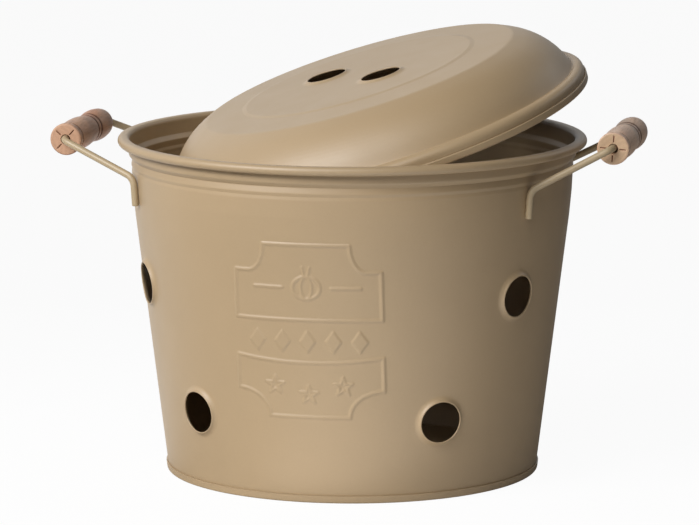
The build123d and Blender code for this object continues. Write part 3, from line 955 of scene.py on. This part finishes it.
def make_grip(side):
    """Turned grip with a bore and struck spur marks in its front face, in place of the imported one."""
    name = f"{side}_grip"
    low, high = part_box(name)
    middle_x, middle_z = ((low[k] + high[k]) / 2 / mm for k in (0, 2))
    front_y = low[1] / mm
    deep = (bore_radius, grip_length / 2)
    face_start = (bore_radius + face_border, 0.0)
    line = rounded([deep, (bore_radius, 0.0), face_start], [bore_bend])[:-1]
    inner = line[-1].x
    count = ceil((grip_turns[0][0] - grip_turns[0][2] - inner) / face_row_step)
    line += [Vector((inner + face_row_step * k, 0.0)) for k in range(1, count)]
    outline = [face_start] + [turn[:2] for turn in grip_turns] + [deep]
    line += rounded(outline, [turn[2] for turn in grip_turns])[1:-1]
    shell = Shell()
    rings = []
    for row in line:
        angles = [2 * pi * k / grip_columns for k in range(grip_columns)]
        rings.append([shell.add(a, row.x, row.y) for a in angles])
    for first, second in zip(rings, rings[1:] + rings[:1]):
        shell.bridge(first, second)
    angle, radius, along = np.array(shell.points).T
    x, z = radius * np.sin(angle), radius * np.cos(angle)
    struck = np.zeros(x.shape)
    for k in range(spur_count):
        turn = spur_turns[side] + 2 * pi * k / spur_count
        out = x * cos(turn) - z * sin(turn)
        off = np.abs(x * sin(turn) + z * cos(turn))
        mark = soft_step((spur_half_width - off) / spur_soft) * soft_step((out - spur_start) / spur_soft)
        struck += mark * soft_step((spur_end - out) / spur_soft)
    along = along + spur_depth * struck * (along < face_flat)
    points = np.stack([middle_x + x, front_y + along, middle_z + z], axis=1) * mm
    settings = (wood_heart_turns[side], wood_side_colours_with_painted_light[side], wood_end_colours[side])
    wood = turned_wood(f"turned_wood_{side}", (low, high), *settings)
    add_piece(f"turned_{side}_grip", points.tolist(), shell.faces, wood, name, name)


def mesh_islands(mesh):
    """Groups of a mesh's points that faces join."""
    parents = list(range(len(mesh.vertices)))

    def top(i):
        while parents[i] != i:
            parents[i] = parents[parents[i]]
            i = parents[i]
        return i

    for edge in mesh.edges:
        a, b = (top(i) for i in edge.vertices)
        parents[a] = b
    groups = {}
    for i in range(len(parents)):
        groups.setdefault(top(i), []).append(i)
    return list(groups.values())


def make_welds(side):
    """Weld nuggets drawn in under the wire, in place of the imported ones."""
    name = f"{side}_handle_welds"
    mesh = nodes[name].data
    points = [vertex.co.copy() for vertex in mesh.vertices]
    for group in mesh_islands(mesh):
        middle = sum((points[i] for i in group), Vector()) / len(group)
        tangent = Vector((-middle.y, middle.x, 0.0)).normalized()
        for i in group:
            off = (points[i] - middle).dot(tangent)
            points[i] = points[i] - tangent * off * (1 - weld_share)
    faces = [tuple(polygon.vertices) for polygon in mesh.polygons]
    points = [tuple(point) for point in points]
    add_piece(f"{side}_weld_nuggets", points, faces, wire_coat, name, "pail")


def make_lid():
    """The pressed lid with flared finger holes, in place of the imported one."""
    line = [
        (lid_hem_line, lid_hem_height),
        (lid_hem_line, half_sheet),
        (lid_wall, half_sheet),
        (lid_wall, lid_bead_z),
        (lid_crest, lid_bead_z),
        lid_valley,
        lid_skirt_corner,
        lid_crown_edge,
        lid_ring,
        (lid_panel_radius, lid_panel_z),
        (lid_panel_radius - lid_panel_border, lid_panel_z),
    ]
    rows = supported(rounded(line, lid_bends))
    normals = row_normals(rows)
    shell = Shell()

    def ring(radius, z):
        angles = [2 * pi * k / lid_columns for k in range(lid_columns)]
        return [shell.add(radius * cos(a), radius * sin(a), z) for a in angles]

    def circle_at(spot):
        def circle(radius, h):
            ring = []
            for k in range(collar_columns):
                a = 2 * pi * k / collar_columns
                ring.append(shell.add(spot.x + radius * cos(a), spot.y + radius * sin(a), lid_panel_z + h))
            return ring
        return circle

    turn = radians(finger_turn)
    half_pitch = Vector((cos(turn), sin(turn))) * finger_pitch / 2
    spots = [Vector((finger_shift, 0)) - half_pitch, Vector((finger_shift, 0)) + half_pitch]
    last_rings = []
    first_rings = []
    for side in (1, -1):
        skin = []
        for row, normal in zip(rows, normals):
            spot = row + normal * side * half_sheet
            skin.append(ring(spot.x, spot.y))
        for first, second in zip(skin, skin[1:]):
            shell.bridge(*((first, second) if side == 1 else (second, first)))
        first_rings.append(skin[0])
        last_rings.append(skin[-1])
    shell.bridge(first_rings[1], first_rings[0])
    borders = ([], [])
    border_radius = finger_foot_radius + finger_border
    for spot in spots:
        circle = circle_at(spot)
        rings = [circle(border_radius, half_sheet)]
        rings += flare_rings(circle, finger_foot_radius, finger_lip_radius, finger_lip_height)
        rings.append(circle(border_radius, -half_sheet))
        for first, second in zip(rings, rings[1:]):
            shell.bridge(first, second)
        borders[0].append(rings[0])
        borders[1].append(rings[-1])
    for side, outside, holes in ((1, last_rings[0], borders[0]), (-1, last_rings[1], borders[1])):
        loops = [outside] + holes
        corners = [[Vector(shell.points[i]) for i in loop] for loop in loops]
        flat = [i for loop in loops for i in loop]
        for triangle in tessellate_polygon(corners):
            face = [flat[k] for k in triangle]
            a, b, c = (Vector(shell.points[i]) for i in face)
            shell.faces.append(tuple(face if (b - a).cross(c - a).z * side > 0 else face[::-1]))
    lean, lean_to = radians(lid_lean), radians(lid_lean_azimuth)
    across = Vector((cos(lean) * cos(lean_to), cos(lean) * sin(lean_to), sin(lean)))
    upward = Vector((-sin(lean) * cos(lean_to), -sin(lean) * sin(lean_to), cos(lean)))
    level = upward.cross(across)
    origin = Vector(lid_origin)
    points = [tuple((origin + across * x + level * y + upward * z) * mm) for x, y, z in shell.points]
    add_piece("pressed_lid", points, shell.faces, sheet_coat, "lid_shell", "lid")


def place_camera():
    """Camera at the photograph's angle, distance and framing."""
    data = bpy.data.cameras.new("camera")
    data.sensor_fit = "HORIZONTAL"
    data.sensor_width = sensor_width
    data.lens = focal_pixels / photo_width * sensor_width
    data.clip_end = camera_clip_end
    camera = bpy.data.objects.new("camera", data)
    bpy.context.scene.collection.objects.link(camera)
    toward = Vector((
        sin(view_azimuth) * cos(view_elevation),
        -cos(view_azimuth) * cos(view_elevation),
        sin(view_elevation),
    ))
    aim = Vector((aim_side * cos(view_azimuth), aim_side * sin(view_azimuth), aim_height))
    camera.location = aim + view_distance * toward
    camera.rotation_euler = (-toward).to_track_quat("-Z", "Y").to_euler()
    bpy.context.scene.camera = camera


def add_lamp(name, size, power):
    """Rectangular area lamp that the camera doesn't see."""
    data = bpy.data.lights.new(name, "AREA")
    data.shape = "RECTANGLE"
    data.size, data.size_y = size
    data.energy = power
    lamp = bpy.data.objects.new(name, data)
    lamp.visible_camera = False
    bpy.context.scene.collection.objects.link(lamp)
    return lamp


def add_card():
    """Glowing card that lies on the floor beside the object and faces up."""
    card = add_lamp("front_card", card_size, card_power)
    card.location = (*card_place, card_height)
    card.rotation_euler = (pi, 0.0, 0.0)


def add_softbox(name, azimuth, elevation, power):
    """Lamp aimed at the middle of the object, by azimuth from the front."""
    lamp = add_lamp(name, softbox_size, power)
    a, e = radians(azimuth), radians(elevation)
    toward = Vector((sin(a) * cos(e), -cos(a) * cos(e), sin(e)))
    lamp.location = Vector((0.0, 0.0, softbox_aim_height)) + softbox_distance * toward
    lamp.rotation_euler = (-toward).to_track_quat("-Z", "Y").to_euler()


def studio_gloss(tree, vector, bright):
    """Strength of the studio as seen in gloss, in a direction: its bright side or its dark side."""
    apart = add_node(tree, "ShaderNodeSeparateXYZ", None, i0=vector).outputs
    turn = radians(bright_azimuth)
    off_x = calc(tree, "MULTIPLY", apart[0], sin(turn))
    off_y = calc(tree, "MULTIPLY", apart[1], -cos(turn))
    return spread(tree, calc(tree, "ADD", off_x, off_y), *gloss_edge, dark_gloss, bright)


def add_floor():
    """Wide pale floor: white to the camera, with the object's shadow, bright on one side in gloss, and
    darker far from the object as painted shade.
    """
    material, tree, shader = new_material("floor_white")
    place = add_node(tree, "ShaderNodeTexCoord").outputs["Object"]
    apart = add_node(tree, "ShaderNodeSeparateXYZ", None, i0=place).outputs
    fade = spread(tree, reach_of(tree, apart[0], apart[1]), *floor_fade, 0.0, 1.0)
    # Pale near the object, and darker far off as painted shade, so that little light bounces from far away
    tone = blend_colours(tree, fade, floor_near_tone, floor_far_painted_shade)
    tree.links.new(tone, shader.inputs["Base Color"])
    shader.inputs["Roughness"].default_value = floor_roughness
    shader.inputs["Specular IOR Level"].default_value = floor_specular
    path = add_node(tree, "ShaderNodeLightPath").outputs
    direction = add_node(tree, "ShaderNodeVectorMath", {"operation": "NORMALIZE"}, i0=place).outputs[0]
    glow = studio_gloss(tree, direction, floor_gloss)
    clear = calc(tree, "MAXIMUM", path["Is Camera Ray"], path["Is Transmission Ray"])
    strength = blend_values(tree, clear, glow, 1.0)
    light = add_node(tree, "ShaderNodeEmission", None, Color=white, Strength=strength)
    white_share = calc(tree, "MULTIPLY", clear, floor_white_share)
    gloss_share = calc(tree, "MULTIPLY", path["Is Glossy Ray"], floor_gloss_share)
    share = calc(tree, "ADD", white_share, gloss_share)
    mixed = add_node(tree, "ShaderNodeMixShader", None, i0=share, i1=shader.outputs[0], i2=light.outputs[0])
    tree.links.new(mixed.outputs[0], tree.nodes["Material Output"].inputs["Surface"])
    mesh = bpy.data.meshes.new("floor")
    corners = [(floor_half * x, floor_half * y, 0) for x, y in ((-1, -1), (1, -1), (1, 1), (-1, 1))]
    mesh.from_pydata(corners, [], [(0, 1, 2, 3)])
    mesh.materials.append(material)
    floor = bpy.data.objects.new("floor", mesh)
    bpy.context.scene.collection.objects.link(floor)
    floor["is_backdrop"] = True


def light_world():
    """Surroundings: a white background, bright on one side in gloss, and no light otherwise."""
    world = bpy.data.worlds.new("white_surroundings")
    world.use_nodes = True
    tree = world.node_tree
    path = add_node(tree, "ShaderNodeLightPath").outputs
    direction = add_node(tree, "ShaderNodeTexCoord").outputs["Generated"]
    glow = calc(tree, "MULTIPLY", path["Is Glossy Ray"], studio_gloss(tree, direction, world_gloss))
    seen = calc(tree, "MAXIMUM", path["Is Camera Ray"], path["Is Transmission Ray"])
    background = tree.nodes["Background"]
    tree.links.new(blend_values(tree, seen, glow, 1.0), background.inputs["Strength"])
    background.inputs["Color"].default_value = white
    bpy.context.scene.world = world


sheet_coat = powder_coat("sheet_powder_coat", coat_colour, sheet_roughness)
wire_coat = powder_coat("wire_powder_coat", wire_colour, wire_roughness)
dress("bottom_disc", sheet_coat)
for side in ("left", "right"):
    dress(f"{side}_handle_wire", wire_coat)
    make_welds(side)
    make_grip(side)
make_body()
make_lid()
place_camera()
add_floor()
light_world()
add_card()
for name, azimuth, elevation, power in softboxes:
    add_softbox(name, azimuth, elevation, power)

bpy.context.scene.view_settings.view_transform = "Standard"
boxes = {"cad": cad_box, "visual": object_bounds()}
{name: [list(corner) for corner in box] for name, box in boxes.items()}
